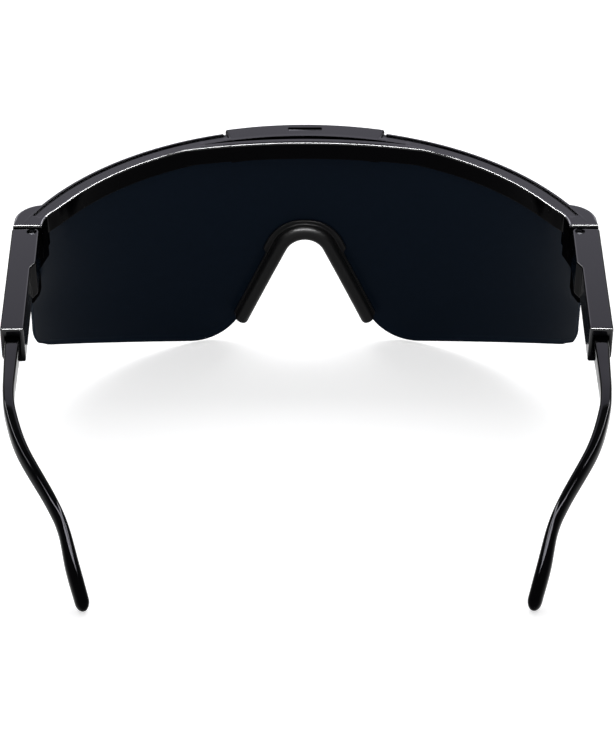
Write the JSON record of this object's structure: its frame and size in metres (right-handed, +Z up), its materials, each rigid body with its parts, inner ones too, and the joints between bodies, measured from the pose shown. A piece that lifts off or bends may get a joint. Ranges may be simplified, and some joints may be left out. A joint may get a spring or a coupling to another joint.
{
  "type": "sports sunglasses",
  "caption": "Wraparound shield sunglasses with a brow bar, a rubber nose pad, and folding temples that tilt and slide out to length.",
  "frame": {"origin": "on the table that the open glasses rest on, under the middle of their outline seen from above", "axes": "+Z up from the table, +X towards the wearer's left, -Y the way the wearer faces; the brow's top leans 13.3 degrees to the table because the glasses rest on the two lens lobes and the two temple tips"},
  "size_m": [0.156, 0.1804, 0.0685],
  "materials": {
    "frame_nylon": "moulded gloss black nylon with a fine moulding grain",
    "arm_nylon": "flexible gloss black nylon, polished",
    "lens": "dark tinted polycarbonate, hard coated, near opaque",
    "pad_rubber": "soft matt to satin black rubber",
    "pin_steel": "drawn steel wire, cut ends"
  },
  "bodies": {
    "front": {"brow_frame": "frame_nylon", "shield_lens": "lens", "nose_pad": "pad_rubber", "tilt_pin_left": "pin_steel", "tilt_pin_right": "pin_steel"},
    "link_left": {"tilt_link_left": "frame_nylon"},
    "temple_left": {"temple_sleeve_left": "frame_nylon", "hinge_pin_left": "pin_steel"},
    "arm_left": {"temple_arm_left": "arm_nylon"},
    "link_right": {"tilt_link_right": "frame_nylon"},
    "temple_right": {"temple_sleeve_right": "frame_nylon", "hinge_pin_right": "pin_steel"},
    "arm_right": {"temple_arm_right": "arm_nylon"}
  },
  "joints": [
    {"name": "tilt_left", "type": "hinge", "parent": "front", "child": "link_left", "pos_m": [0.0727, -0.03154, 0.05132], "axis": [1, 0, 0], "range_deg": [-8, 8]},
    {"name": "fold_left", "type": "hinge", "parent": "link_left", "child": "temple_left", "pos_m": [0.0727, -0.02493, 0.04973], "axis": [0, 0.2339, 0.9723], "range_deg": [0, 90]},
    {"name": "extend_left", "type": "slide", "parent": "temple_left", "child": "arm_left", "axis": [-0.0332, 0.9717, -0.2337], "range_m": [0, 0.008]},
    {"name": "tilt_right", "type": "hinge", "parent": "front", "child": "link_right", "pos_m": [-0.0727, -0.03154, 0.05132], "axis": [1, 0, 0], "range_deg": [-8, 8]},
    {"name": "fold_right", "type": "hinge", "parent": "link_right", "child": "temple_right", "pos_m": [-0.0727, -0.02493, 0.04973], "axis": [0, -0.2339, -0.9723], "range_deg": [0, 80]},
    {"name": "extend_right", "type": "slide", "parent": "temple_right", "child": "arm_right", "axis": [0.0332, 0.9717, -0.2337], "range_m": [0, 0.008]}
  ]
}
